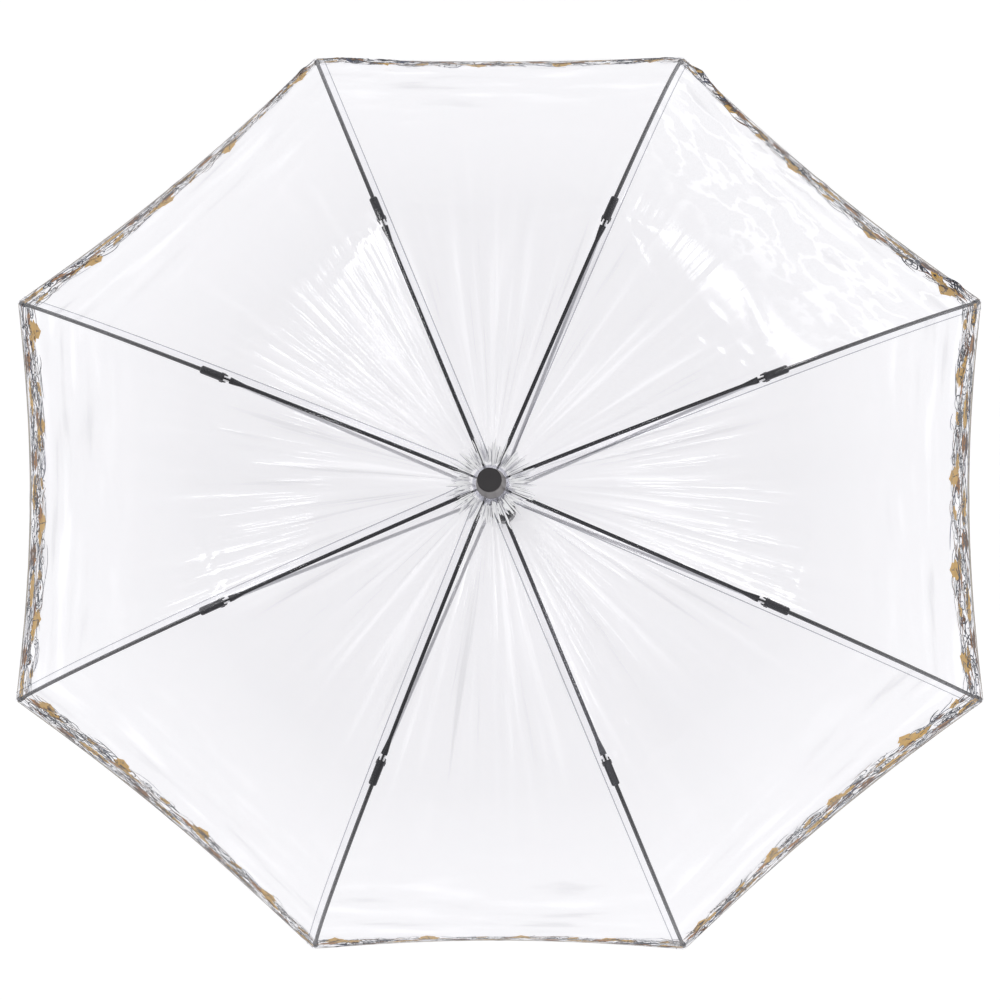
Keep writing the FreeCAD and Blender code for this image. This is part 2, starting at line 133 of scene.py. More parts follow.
class Arc:
    """An arc from start to end that leaves start at a slope and turns further down."""

    def __init__(self, start, slope, end):
        run = end - start
        chord = np.hypot(*run)
        chord_slope = math.degrees(math.atan2(-run[1], run[0]))
        self.first = slope
        self.last = 2 * chord_slope - slope
        self.turn = math.radians(self.last - self.first)
        self.radius = chord / (2 * math.sin(self.turn / 2))
        self.centre = start - outward(slope) * self.radius

    def at(self, share, offset=0.0):
        slope = self.first + (self.last - self.first) * share
        return self.centre + outward(slope) * (self.radius + offset)

    def length(self, offset=0.0):
        return (self.radius + offset) * self.turn


def rib_arcs(rib):
    """The inner rib's arc and the two halves of the outer rod's."""
    crown = radial(JOINTS["rib_1_fold"])
    joiner = radial(JOINTS["stretcher_1_fold"])
    middle = radial(JOINTS[f"rod_end_{rib}_flex"])
    run = joiner - crown
    first = math.degrees(math.atan2(-run[1], run[0])) - RIB_BOW
    inner = Arc(crown, first, joiner)
    start = joiner + outward(inner.last) * ROD_OVER_PIVOT
    upper = Arc(start, inner.last, middle)
    lower_end = upper.centre + outward(2 * upper.last - upper.first) * upper.radius
    lower = Arc(middle, upper.last, lower_end)
    return inner, upper, lower


ARCS = {rib: rib_arcs(rib) for rib in RIBS}
FILM_OFFSETS = (ROD_OVER_PIVOT + FILM_OVER_ROD, FILM_OVER_ROD, FILM_OVER_ROD)
LEVEL_LENGTHS = [arc.length(offset) for arc, offset in zip(ARCS[1], FILM_OFFSETS)]
SEAM_LENGTH = sum(LEVEL_LENGTHS)


def azimuth(rib):
    return math.radians(FIRST_AZIMUTH + (rib - 1) * AZIMUTH_STEP)


def seam_point(rib, run):
    """The film over a rib, this far along the seam from the crown, as a 3-D point."""
    level = 0
    while level < LEVELS[-1] and run > LEVEL_LENGTHS[level]:
        run -= LEVEL_LENGTHS[level]
        level += 1
    r, z = ARCS[rib][level].at(run / LEVEL_LENGTHS[level], FILM_OFFSETS[level])
    return np.array([r * math.cos(azimuth(rib)), r * math.sin(azimuth(rib)), z])


def following(rib):
    return rib % RIB_COUNT + 1


# ---- the film's surface ----
def smooth(low, high, value):
    """0 below low, 1 above high, and a smooth rise between them."""
    share = np.clip((value - low) / (high - low), 0, 1)
    return share * share * (3 - 2 * share)


def crease(across, run, start, angle, length, width, height):
    """A straight fold from start, (across, run) in metres, that fades towards its far end."""
    dx = across - start[0]
    dy = run - start[1]
    along = dx * math.cos(angle) + dy * math.sin(angle)
    beside = -dx * math.sin(angle) + dy * math.cos(angle)
    spread = width * (CREASE_FOOT + (1 - CREASE_FOOT) * np.clip(along / length, 0, 1))
    profile = np.exp(-((beside / spread) ** 2))
    fade = smooth(0, 0.12 * length, along) * (1 - smooth(0.35 * length, length, along))
    return height * profile * fade


def fan_fold(rng, fan, number, side):
    """One fold of a fan: its direction, length, width and height."""
    turn = fan["first"] + fan["step"] * number + rng.uniform(-fan["sway"], fan["sway"])
    angle = fan["hand"] * math.radians(turn)
    angle = angle if side < 0 else math.pi - angle
    length, width, height = (rng.uniform(*fan[size]) * MM for size in ("length", "width", "height"))
    return angle, length, width, height


def corner_creases(rng, half_width):
    """Folds that fan out from a gore's two hem corners and from its two joiners."""
    found = []
    for side in (-1, 1):
        for number in range(HEM_FAN["folds"]):
            start = (side * half_width(SEAM_LENGTH) * 0.97, SEAM_LENGTH - rng.uniform(4, 14) * MM)
            found.append((start, *fan_fold(rng, HEM_FAN, number, side)))
        for number in range(JOINER_FAN["folds"]):
            run = LEVEL_LENGTHS[0] + rng.uniform(-25, 15) * MM
            start = (side * half_width(run) * 0.95, run)
            found.append((start, *fan_fold(rng, JOINER_FAN, number, side)))
    return found


def wrinkles(gore, share, run, radius, half_width):
    """How far the film stands out from its stretched surface. share is -1 and 1 at the ribs."""
    rng = np.random.default_rng(40 + gore)
    across = share * np.vectorize(half_width)(run)
    between = 1 - share**2
    height = np.zeros_like(run)
    for start, angle, length, width, rise in corner_creases(rng, half_width):
        height += crease(across, run, start, angle, length, width, rise)
    phase = rng.uniform(0, ANY_PHASE)
    bend = run + RIPPLE_BEND * np.sin(9 * across / half_width(SEAM_LENGTH) + phase)
    ripple = np.sin(2 * math.pi * bend / LONG_RIPPLE)
    ripple += 0.6 * np.sin(2 * math.pi * bend / SHORT_RIPPLE + phase)
    down = run / SEAM_LENGTH
    zone = smooth(0.45, 0.8, down) * (1 - smooth(0.93, 1.0, down))
    height += RIPPLE_HEIGHT * ripple * zone
    rise, width = MIDDLE_FOLD
    height += rise * np.exp(-((across / width) ** 2)) * smooth(0.2, 0.5, down)
    height = height * smooth(0, 0.25, between) * WRINKLE_SCALE[gore]
    return height + gathers(rng, share, radius)


def gathers(rng, share, radius):
    """The pinched pleats around the ferrule."""
    turn = share * 0.5
    pleats = np.zeros_like(radius)
    for waves in PLEAT_WAVES:
        start = rng.uniform()
        skew = rng.uniform(0, 3) * share
        pleats += np.sin(2 * math.pi * (waves * turn + start) + skew) / len(PLEAT_WAVES)
    ragged = 3 * MM * np.sin(23 * share + rng.uniform(0, 6))
    fade = 1 - smooth(20 * MM, 36 * MM, radius + ragged)
    return PLEAT_HEIGHT * (pleats + 0.6) * fade * smooth(9 * MM, 15 * MM, radius)


def gore_runs():
    """The rows' distances along the seam. A row that two levels share is given once."""
    tight = np.linspace(0, 1, LEVEL_ROWS[0] + 1) ** CROWN_CROWDING
    runs = [LEVEL_LENGTHS[0] * tight]
    start = LEVEL_LENGTHS[0]
    for length, rows in zip(LEVEL_LENGTHS[1:], LEVEL_ROWS[1:]):
        runs.append(start + np.linspace(0, length, rows + 1)[1:])
        start += length
    return np.concatenate(runs)


def gore_surface(gore, shares, runs):
    """Points of the film between a rib and the next one, for arrays of shares and runs."""
    here, there = gore, following(gore)
    shape = shares.shape
    flat_runs = runs.ravel()
    first = np.array([seam_point(here, run) for run in flat_runs]).reshape(*shape, 3)
    last = np.array([seam_point(there, run) for run in flat_runs]).reshape(*shape, 3)
    mix = ((shares + 1) / 2)[..., None]
    points = first * (1 - mix) + last * mix
    sag_start = TUCKED_SAG_START if gore == TUCKED_GORE else SAG_START
    pull = HEM_SAG[gore] * MM * (1 - shares**2) * smooth(sag_start, 1.0, runs / SEAM_LENGTH)
    points[..., :2] *= (1 - pull / np.linalg.norm(points[..., :2], axis=-1))[..., None]
    return points


def scalloped(shares, runs):
    """Runs shortened near the hem, so that the hem rises between the ribs."""
    pull = smooth(SCALLOP_START, 1.0, runs / SEAM_LENGTH)
    return runs - HEM_SCALLOP * (1 - shares**2) * pull


def normals_of(points):
    down = np.gradient(points, axis=0)
    side = np.gradient(points, axis=1)
    normal = np.cross(down, side)
    return normal / np.linalg.norm(normal, axis=2, keepdims=True)


def half_width_of(gore):
    """A function that gives half the gore's width at a distance along its seam."""
    def half_width(run):
        return np.linalg.norm(seam_point(gore, run) - seam_point(following(gore), run)) / 2

    return half_width


def gore_grid(gore):
    """The whole gore's points and normals, by row and column, and the first row of each level."""
    columns = np.linspace(-1, 1, 2 * HALF_COLUMNS + 1)
    shares, run = np.meshgrid(columns, gore_runs())
    points = gore_surface(gore, shares, scalloped(shares, run))
    radius = np.linalg.norm(points[..., :2], axis=2)
    height = wrinkles(gore, shares, run, radius, half_width_of(gore))
    points = points + normals_of(points) * height[..., None]
    # a row at the hole, level with the first one, carries the film in under the washer
    hole = points[:1].copy()
    hole[..., :2] *= (FILM_HOLE / np.linalg.norm(hole[..., :2], axis=2))[..., None]
    points = np.concatenate([hole, points])
    starts = [0, LEVEL_ROWS[0] + 1, LEVEL_ROWS[0] + LEVEL_ROWS[1] + 1, sum(LEVEL_ROWS) + 1]
    return points, normals_of(points), starts


GORES = {gore: gore_grid(gore) for gore in RIBS}


def gore_uv(gore):
    """Where each of a gore's points lies: the share across, apart from the other gores', and the run."""
    rows = np.concatenate([[-FILM_HOLE], gore_runs()])
    columns = np.linspace(-1, 1, 2 * HALF_COLUMNS + 1) + GORE_PITCH * gore
    return np.stack(np.meshgrid(columns, rows), axis=2)


# ---- materials ----
GLOSS_SPREAD = 0.2  # of the roughness, either way
FILM_BUMP = 1.4 * MM
STREAKS = (9, 4)  # waves across a gore's half and per metre down it
HEM_FOLDS = (1.5, 40)
CRUMPLES = (3, 26)
# the creases are thin lines of bump that are also painted lighter, as highlights
CREASE_LEVEL = 0.5  # a crease runs where the noise is this high
CREASE_WIDTH = 0.03
CREASE_HEIGHT = 0.9
STREAK_RUNS = (0.10, 0.38)  # metres down the seam, between which the streaks fade
HEM_FOLD_RUNS = (0.28, 0.46)
CRUMPLE_RUNS = (0.27, 0.40)
PAINTED_HIGHLIGHT = (0.5, 0.72, 0.0, 0.1)  # heights from and to, and how much lighter the film is painted there: a painted highlight on the wrinkles' high parts
# painted shade on the wrinkles' low parts: heights from and to, and how much dimmer the film is painted
# there
PAINTED_SHADE = (0.28, 0.45, 0.11, 0.0)
SLANT_BLEND = 0.2
MIRROR_TINT = (0.95, 0.95, 0.97)
GLANCING_SHINE = 0.16


def node_material(name):
    material = bpy.data.materials.new(name)
    material.use_nodes = True
    tree = material.node_tree
    tree.nodes.clear()
    output = tree.nodes.new("ShaderNodeOutputMaterial")
    return material, tree, output


def principled(name, color, roughness, metallic=0.0):
    material, tree, output = node_material(name)
    shader = tree.nodes.new("ShaderNodeBsdfPrincipled")
    shader.inputs["Base Color"].default_value = (*color, 1)
    shader.inputs["Roughness"].default_value = roughness
    shader.inputs["Metallic"].default_value = metallic
    tree.links.new(shader.outputs["BSDF"], output.inputs["Surface"])
    return material, tree, shader


def plain(name, color, roughness):
    return principled(name, color, roughness)[0]


def mottled(name, color, roughness, metallic, scale, contrast):
    """A plain finish with faint uneven colour and gloss, as moulded or plated pieces have."""
    material, tree, shader = principled(name, color, roughness, metallic)
    place = tree.nodes.new("ShaderNodeTexCoord")
    grain = tree.nodes.new("ShaderNodeTexNoise")
    grain.inputs["Scale"].default_value = scale
    grain.inputs["Detail"].default_value = 3
    tree.links.new(place.outputs["Object"], grain.inputs["Vector"])
    tint = tree.nodes.new("ShaderNodeMapRange")
    tint.inputs["To Min"].default_value = 1 - contrast
    tint.inputs["To Max"].default_value = 1 + contrast
    tree.links.new(grain.outputs["Fac"], tint.inputs["Value"])
    paint = tree.nodes.new("ShaderNodeVectorMath")
    paint.operation = "SCALE"
    paint.inputs[0].default_value = color
    tree.links.new(tint.outputs["Result"], paint.inputs["Scale"])
    tree.links.new(paint.outputs["Vector"], shader.inputs["Base Color"])
    gloss = tree.nodes.new("ShaderNodeMapRange")
    gloss.inputs["To Min"].default_value = roughness * (1 - GLOSS_SPREAD)
    gloss.inputs["To Max"].default_value = roughness * (1 + GLOSS_SPREAD)
    tree.links.new(grain.outputs["Fac"], gloss.inputs["Value"])
    tree.links.new(gloss.outputs["Result"], shader.inputs["Roughness"])
    return material


def scaled(tree, source, scale):
    node = tree.nodes.new("ShaderNodeVectorMath")
    node.operation = "MULTIPLY"
    node.inputs[1].default_value = (*scale, 1)
    tree.links.new(source, node.inputs[0])
    return node.outputs["Vector"]


def noise(tree, place, detail):
    node = tree.nodes.new("ShaderNodeTexNoise")
    node.inputs["Scale"].default_value = 1
    node.inputs["Detail"].default_value = detail
    tree.links.new(place, node.inputs["Vector"])
    return node.outputs["Fac"]


def blend_values(tree, low, high, amount):
    """Between two values, each a number or a node's output, by a third."""
    mix = tree.nodes.new("ShaderNodeMix")
    tree.links.new(amount, mix.inputs[0])
    for place, value in ((2, low), (3, high)):
        if isinstance(value, float):
            mix.inputs[place].default_value = value
        else:
            tree.links.new(value, mix.inputs[place])
    return mix.outputs[0]


def ramp(tree, value, start, end, low, high):
    """From low to high as the value goes from start to end."""
    node = tree.nodes.new("ShaderNodeMapRange")
    node.interpolation_type = "SMOOTHSTEP"
    for name, number in (("From Min", start), ("From Max", end), ("To Min", low), ("To Max", high)):
        node.inputs[name].default_value = number
    tree.links.new(value, node.inputs["Value"])
    return node.outputs["Result"]


def fine_wrinkles(tree):
    """Streaks from the crown, folds along the hem and the loose gore's creases, as one value about 0.5.
    It bumps the film and also sets its tint: painted highlights where it is high, painted shade where it
    is low.

    The film's UV map holds the share across the gore and the run down the seam, in metres."""
    place = tree.nodes.new("ShaderNodeTexCoord").outputs["UV"]
    split = tree.nodes.new("ShaderNodeSeparateXYZ")
    tree.links.new(place, split.inputs["Vector"])
    run = split.outputs["Y"]
    streaks = noise(tree, scaled(tree, place, STREAKS), 3)
    folds = noise(tree, scaled(tree, place, HEM_FOLDS), 2)
    crumples = tree.nodes.new("ShaderNodeMath")
    crumples.operation = "COMPARE"
    tree.links.new(noise(tree, scaled(tree, place, CRUMPLES), 4), crumples.inputs[0])
    crumples.inputs[1].default_value = CREASE_LEVEL
    crumples.inputs[2].default_value = CREASE_WIDTH
    loose_start = LOOSE_GORE * GORE_PITCH
    loose = ramp(tree, split.outputs["X"], loose_start, loose_start + GORE_PITCH / 2, 1.0, 0.0)
    crumpled = tree.nodes.new("ShaderNodeMath")
    crumpled.operation = "MULTIPLY"
    tree.links.new(loose, crumpled.inputs[0])
    tree.links.new(ramp(tree, run, *CRUMPLE_RUNS, 0.0, 1.0), crumpled.inputs[1])
    creased = tree.nodes.new("ShaderNodeMath")
    creased.operation = "MULTIPLY"
    tree.links.new(crumpled.outputs["Value"], creased.inputs[0])
    tree.links.new(crumples.outputs["Value"], creased.inputs[1])
    near_crown = ramp(tree, run, *STREAK_RUNS, 1.0, 0.2)
    near_hem = ramp(tree, run, *HEM_FOLD_RUNS, 0.0, 0.9)
    fanned = blend_values(tree, 0.5, streaks, near_crown)
    folded = blend_values(tree, fanned, folds, near_hem)
    return blend_values(tree, folded, CREASE_HEIGHT, creased.outputs["Value"])


def clear_film(name, tint, shine, roughness, wrinkled_with_painted_light):
    """Thin clear film: it lets nearly everything through and mirrors a little, more at a slant. With
    wrinkles, they also paint highlights and shade into what it lets through.
    """
    material, tree, output = node_material(name)
    through = tree.nodes.new("ShaderNodeBsdfTransparent")
    through.inputs["Color"].default_value = (*tint, 1)
    mirror = tree.nodes.new("ShaderNodeBsdfGlossy")
    mirror.inputs["Color"].default_value = (*MIRROR_TINT, 1)
    mirror.inputs["Roughness"].default_value = roughness
    slant = tree.nodes.new("ShaderNodeLayerWeight")
    slant.inputs["Blend"].default_value = SLANT_BLEND
    if wrinkled_with_painted_light:
        height = fine_wrinkles(tree)
        bump = tree.nodes.new("ShaderNodeBump")
        bump.inputs["Strength"].default_value = 1.0
        bump.inputs["Distance"].default_value = FILM_BUMP
        tree.links.new(height, bump.inputs["Height"])
        tree.links.new(bump.outputs["Normal"], mirror.inputs["Normal"])
        tree.links.new(bump.outputs["Normal"], slant.inputs["Normal"])
        # painted highlight and painted shade: what the film lets through is made lighter on the
        # wrinkles' high parts and dimmer on their low parts
        highlight_amount = ramp(tree, height, *PAINTED_HIGHLIGHT)
        shade_amount = ramp(tree, height, *PAINTED_SHADE)
        shade = tree.nodes.new("ShaderNodeMath")
        shade.operation = "SUBTRACT"
        tree.links.new(highlight_amount, shade.inputs[0])
        tree.links.new(shade_amount, shade.inputs[1])
        lit = tree.nodes.new("ShaderNodeVectorMath")
        lit.inputs[1].default_value = tint
        tree.links.new(shade.outputs["Value"], lit.inputs[0])
        tree.links.new(lit.outputs["Vector"], through.inputs["Color"])
    amount = tree.nodes.new("ShaderNodeMapRange")
    amount.inputs["To Min"].default_value = shine
    amount.inputs["To Max"].default_value = GLANCING_SHINE
    tree.links.new(slant.outputs["Facing"], amount.inputs["Value"])
    mix = tree.nodes.new("ShaderNodeMixShader")
    tree.links.new(amount.outputs["Result"], mix.inputs["Fac"])
    tree.links.new(through.outputs["BSDF"], mix.inputs[1])
    tree.links.new(mirror.outputs["BSDF"], mix.inputs[2])
    tree.links.new(mix.outputs["Shader"], output.inputs["Surface"])
    return material


FILM = clear_film("clear_film", (0.925, 0.92, 0.94), 0.04, 0.12, True)
# the seams' cut edge, a grey line of painted shade
SEAM_EDGE_SHADE = clear_film("seam_edge_painted_shade", (0.5, 0.51, 0.54), 0.10, 0.2, False)
OVERLAP = clear_film("seam_overlap", (0.975, 0.975, 0.985), 0.02, 0.2, False)
# the pinched folds' painted highlight and painted shade
FOLD_HIGHLIGHT = plain("painted_fold_highlight", (0.93, 0.93, 0.94), 0.35)
FOLD_SHADE = clear_film("painted_fold_shade", (0.45, 0.45, 0.48), 0.08, 0.2, False)
HUB = clear_film("hub_plastic", (0.9, 0.9, 0.92), 0.10, 0.15, False)
GOLD = mottled("gold_ink", (0.56, 0.33, 0.08), 0.45, 0.0, 180, 0.25)
OCHRE = mottled("ochre_ink", (0.36, 0.16, 0.05), 0.5, 0.0, 180, 0.2)
GREY = plain("grey_ink", (0.10, 0.11, 0.13), 0.5)
DARK = plain("dark_ink", (0.025, 0.028, 0.04), 0.45)
BROWN = plain("brown_ink", (0.16, 0.075, 0.035), 0.5)
NAVY = plain("navy_ink", (0.03, 0.045, 0.11), 0.5)
HEM_INK = plain("hem_ink", (0.42, 0.37, 0.31), 0.5)
INKS = {
    "gold": GOLD,
    "ochre": OCHRE,
    "brown": BROWN,
    "grey": GREY,
    "dark": DARK,
    "navy": NAVY,
    "hem": HEM_INK,
}

CAD_MATERIALS = {
    "shaft_tube": mottled("shaft_enamel", (0.05, 0.05, 0.055), 0.28, 0.6, 60, 0.1),
    "catch_pins": mottled("pin_steel", (0.55, 0.55, 0.57), 0.3, 1.0, 200, 0.05),
    "top_catch": mottled("catch_steel", (0.55, 0.55, 0.57), 0.3, 1.0, 200, 0.05),
    "handle_grip": mottled("grip_plastic", (0.03, 0.028, 0.03), 0.42, 0.0, 90, 0.15),
    "crown_notch": HUB,
    "crown_washer": HUB,
    "ferrule": mottled("ferrule_plating", (0.07, 0.054, 0.05), 0.38, 0.3, 120, 0.15),
    "ferrule_cap": mottled("cap_plastic", (0.014, 0.011, 0.013), 0.55, 0.0, 120, 0.12),
    "inner_rib": mottled("rib_plating", (0.045, 0.045, 0.05), 0.25, 0.7, 90, 0.3),
    "rib_joiner": mottled("joiner_gunmetal", (0.03, 0.03, 0.034), 0.35, 0.6, 150, 0.3),
    "outer_rod": mottled("rod_fibre", (0.012, 0.012, 0.014), 0.4, 0.0, 120, 0.2),
    "stretcher": mottled("stretcher_plating", (0.86, 0.86, 0.87), 0.3, 0.1, 90, 0.05),
}
SAME_AS = {
    "bottom_catch": "top_catch",
    "crown_wire": "catch_pins",
    "runner": "crown_notch",
    "runner_wire": "catch_pins",
    "rod_end": "outer_rod",
}


def finish_cad_nodes():
    for name, node in nodes.items():
        kind = name.rstrip("0123456789").rstrip("_")
        kind = SAME_AS.get(kind, kind)
        if kind in CAD_MATERIALS:
            node.data.materials.clear()
            node.data.materials.append(CAD_MATERIALS[kind])


# ---- the film pieces ----
def mesh_object(name, points, faces, materials, normals=None, face_materials=None, uv=None):
    mesh = bpy.data.meshes.new(name)
    mesh.from_pydata(points.tolist(), [], faces)
    for material in materials:
        mesh.materials.append(material)
    if face_materials is not None:
        mesh.polygons.foreach_set("material_index", face_materials)
    mesh.polygons.foreach_set("use_smooth", [True] * len(mesh.polygons))
    if uv is not None:
        corners = np.empty(len(mesh.loops), np.int32)
        mesh.loops.foreach_get("vertex_index", corners)
        mesh.uv_layers.new(name="film").data.foreach_set("uv", uv[corners].ravel())
    if normals is not None:
        mesh.normals_split_custom_set_from_vertices(normals.tolist())
    thing = bpy.data.objects.new(name, mesh)
    bpy.context.scene.collection.objects.link(thing)
    return thing


def grid_faces(rows, columns):
    return [
        (row * columns + column, (row + 1) * columns + column,
         (row + 1) * columns + column + 1, row * columns + column + 1)
        for row in range(rows - 1)
        for column in range(columns - 1)
    ]


def body_name(rib, level):
    return f"{LEVEL_BODIES[level]}_{rib}"


def gore_beside(rib, side):
    """The gore that lies on one side of a rib, and its columns from the rib to the gore's middle."""
    if side > 0:
        return rib, slice(0, HALF_COLUMNS + 1)
    return (rib - 2) % RIB_COUNT + 1, slice(HALF_COLUMNS, 2 * HALF_COLUMNS + 1)


def fold_axis(points, side):
    """A direction square to the seam's chord, across the film piece towards the gore's middle, and the
    seam's first point as its anchor.
    """
    seam = points[:, 0] if side > 0 else points[:, -1]
    middle = points[:, -1] if side > 0 else points[:, 0]
    chord = seam[-1] - seam[0]
    chord = chord / np.linalg.norm(chord)
    across = (middle - seam).sum(axis=0)
    axis = across - across.dot(chord) * chord
    return axis / np.linalg.norm(axis), seam[0]


def gather(piece, axis, anchor):
    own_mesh(piece)


def film_piece(rib, side_name, level):
    side = SIDES[side_name]
    gore, columns = gore_beside(rib, side)
    points, normals, starts = GORES[gore]
    rows = slice(starts[level], starts[level + 1] + 1)
    points, normals = points[rows, columns], normals[rows, columns]
    name = f"film_{LEVEL_NAMES[level]}_{side_name}_rib_{rib}"
    faces = grid_faces(*points.shape[:2])
    uv = gore_uv(gore)[rows, columns].reshape(-1, 2)
    piece = mesh_object(name, points.reshape(-1, 3), faces, [FILM], normals.reshape(-1, 3), uv=uv)
    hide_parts(f"canopy_gore_{gore}")
    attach(piece, body_name(rib, level))
    gather(piece, *fold_axis(points, side))


def all_film():
    for rib in RIBS:
        for side_name in SIDES:
            for level in LEVELS:
                film_piece(rib, side_name, level)


# ---- the printed border ----
BLUNT_END = 0.12  # radians of a line's taper that are left off at each end
NOTCH_SHARE = 0.68  # of a leaf's width, between its teeth
PRINT_LIMIT = 0.995  # of a gore's half width
PRINT_LIFT = 0.25 * MM  # above the film
LOWEST_INK = 2.0  # mm above the hem
BORDER_REPEATS = 4  # in each gore
SCROLLS = 64  # in one repeat of the border, as are the next two
SPIRALS = 26
SPOTS = 30
HEM_POINTS = 60
HEM_LINES = ((2.5, 5.0, "hem"), (0.8, 0.9, "dark"), (5.5, 0.9, "dark"))  # mm up, mm wide, ink


class Drawing:
    """Flat outlines laid on a gore. Their points are (across, up): metres from the gore's middle along
    the hem, and metres up the film from the hem."""

    def __init__(self, gore, lift):
        self.gore = gore
        self.lift = lift
        self.half = half_width_of(gore)(SEAM_LENGTH)
        self.points = []
        self.faces = []
        self.tones = []

    def add(self, outline_points, outline_faces, tone):
        first = len(self.points)
        self.points.extend(outline_points)
        self.faces.extend(tuple(first + corner for corner in face) for face in outline_faces)
        self.tones.extend([tone] * len(outline_faces))

    def line(self, path, width, tone):
        """A strip along a path, tapered at both ends."""
        path = np.array(path)
        along = np.gradient(path, axis=0)
        along /= np.linalg.norm(along, axis=1, keepdims=True) + 1e-9
        square = np.stack([-along[:, 1], along[:, 0]], axis=1)
        taper = np.sin(np.linspace(BLUNT_END, math.pi - BLUNT_END, len(path)))[:, None] ** 0.5
        left = path + square * width / 2 * taper
        right = path - square * width / 2 * taper
        count = len(path)
        faces = [(i, i + 1, count + i + 1, count + i) for i in range(count - 1)]
        self.add([*left.tolist(), *right.tolist()], faces, tone)

    def leaf(self, foot, angle, length, width, teeth, tone):
        """A pointed leaf with a toothed edge, growing from foot."""
        steps = 2 * teeth + 1
        share = np.linspace(0, 1, steps)
        half = width / 2 * np.sin(math.pi * share**0.8) ** 0.8
        half[1::2] *= NOTCH_SHARE
        half[0] = half[-1] = 0
        direction = np.array([math.cos(angle), math.sin(angle)])
        square = np.array([-direction[1], direction[0]])
        spine = np.array(foot) + direction * length * share[:, None]
        left = spine + square * half[:, None]
        right = spine - square * half[:, None]
        faces = [(i, i + 1, steps + i + 1, steps + i) for i in range(steps - 1)]
        faces += [(steps + i, steps + i + 1, 2 * steps + i + 1, 2 * steps + i) for i in range(steps - 1)]
        self.add([*left.tolist(), *spine.tolist(), *right.tolist()], faces, tone)

    def veined_leaf(self, foot, angle, length, width, teeth, tone):
        """A leaf with a dark vein up its middle and a few branches off it."""
        self.leaf(foot, angle, length, width, teeth, tone)
        foot = np.array(foot)

        def ahead(distance, turn):
            return np.array([math.cos(angle + turn), math.sin(angle + turn)]) * distance

        self.line([foot + ahead(share * length, 0) for share in (0.0, 0.3, 0.6, 0.85)], 1.0 * MM, "dark")
        for share in (0.25, 0.45, 0.62):
            for turn in (-0.7, 0.7):
                start = foot + ahead(share * length, 0)
                branch = ahead(width * 0.35 * (1.2 - share), turn)
                self.line([start, start + branch / 2, start + branch], 0.8 * MM, "brown")

    def placed(self):
        """The points on the film, and how far across its gore each one is."""
        flat = np.array(self.points)
        shares = np.clip(flat[:, 0] / self.half, -PRINT_LIMIT, PRINT_LIMIT)
        runs = SEAM_LENGTH - flat[:, 1]
        step = 1 * MM

        def film(share, run):
            place = gore_surface(self.gore, share, scalloped(share, run))
            radius = np.linalg.norm(place[..., :2], axis=1)
            return place, wrinkles(self.gore, share, run, radius, half_width_of(self.gore))

        place, height = film(shares, runs)
        side = film(shares + step / self.half, runs)[0] - place
        down = film(shares, runs + step)[0] - place
        normal = np.cross(down, side)
        normal /= np.linalg.norm(normal, axis=1, keepdims=True)
        return place + normal * (height + self.lift)[:, None], shares


def spiral(centre, radius, turns, start, hand):
    share = np.linspace(0, 1, 15)
    angle = start + hand * turns * 2 * math.pi * share
    reach = radius * (1 - 0.85 * share)
    return np.array(centre) + np.stack([np.cos(angle), np.sin(angle)], axis=1) * reach[:, None]


def curve(start, control, end, count=9):
    t = np.linspace(0, 1, count)[:, None]
    a, b, c = (np.array(point) for point in (start, control, end))
    return a * (1 - t) ** 2 + 2 * b * t * (1 - t) + c * t**2


def ornament(drawing, centre, pitch, rng):
    """One repeat of the border: toothed gold leaves along the inner edge of a dense band of scrolls."""
    def at(x, y):
        return (centre + x * pitch, max(y, LOWEST_INK) * MM)

    def any_of(low, high):
        return rng.uniform(low, high)

    for number in range(SCROLLS):
        x, y = any_of(-0.5, 0.5), any_of(4, 52)
        reach = any_of(0.08, 0.22)
        ends = at(x - reach, y + any_of(-8, 8)), at(x + reach, y + any_of(-8, 8))
        tone = ("dark", "grey", "dark", "brown", "navy")[number % 5]
        drawing.line(curve(ends[0], at(x, y + any_of(-16, 16)), ends[1]), any_of(0.8, 1.9) * MM, tone)
    for number in range(SPIRALS):
        place = at(any_of(-0.5, 0.5), any_of(11, 50))
        hand = (-1, 1)[number % 2]
        turn = spiral(place, any_of(4, 9) * MM, any_of(1.0, 1.5), any_of(0, ANY_PHASE), hand)
        drawing.line(turn, any_of(0.8, 1.5) * MM, ("dark", "grey")[number // 2 % 2])
    for number in range(SPOTS):
        spot = at(any_of(-0.5, 0.5), any_of(6, 46))
        size = (any_of(5, 11) * MM, any_of(3, 6) * MM)
        drawing.leaf(spot, any_of(-0.5, 0.5), *size, 1, ("dark", "grey", "brown")[number % 3])
    lean = any_of(-0.3, 0.3)
    tall = any_of(0.8, 1.2)
    leaves = [  # place, direction, length and width in mm, teeth, ink
        (at(-0.24, 34), math.pi + lean, 18, 11, 3, "ochre"),
        (at(-0.24, 34), lean, 20, 12, 4, "gold"),
        (at(-0.24, 30), 0.5 * math.pi + lean, 30 * tall, 20, 4, "gold"),
        (at(0.22, 18), any_of(-0.1, 0.1), 34, 15, 6, "gold"),
        (at(0.20, 18), math.pi - any_of(0, 0.3), 20, 11, 3, "ochre"),
        (at(0.27, 36), any_of(0.6, 1.2), 17 * tall, 10, 3, "gold"),
        (at(-0.05, 11), any_of(-0.2, 0.2), 22, 9, 3, "brown"),
    ]
    for place, direction, length, width, teeth, tone in leaves:
        drawing.veined_leaf(place, direction, length * MM, width * MM, teeth, tone)


def border(gore):
    """The printed border of one gore, as a drawing."""
    drawing = Drawing(gore, PRINT_LIFT)
    pitch = 2 * drawing.half / BORDER_REPEATS
    rng = np.random.default_rng(70 + gore)
    for number in range(BORDER_REPEATS):
        ornament(drawing, -drawing.half + (number + 0.5) * pitch, pitch, rng)
    edge = np.linspace(-drawing.half, drawing.half, HEM_POINTS)
    for up, width, tone in HEM_LINES:
        drawing.line(np.stack([edge, np.full(HEM_POINTS, up * MM)], axis=1), width * MM, tone)
    return drawing


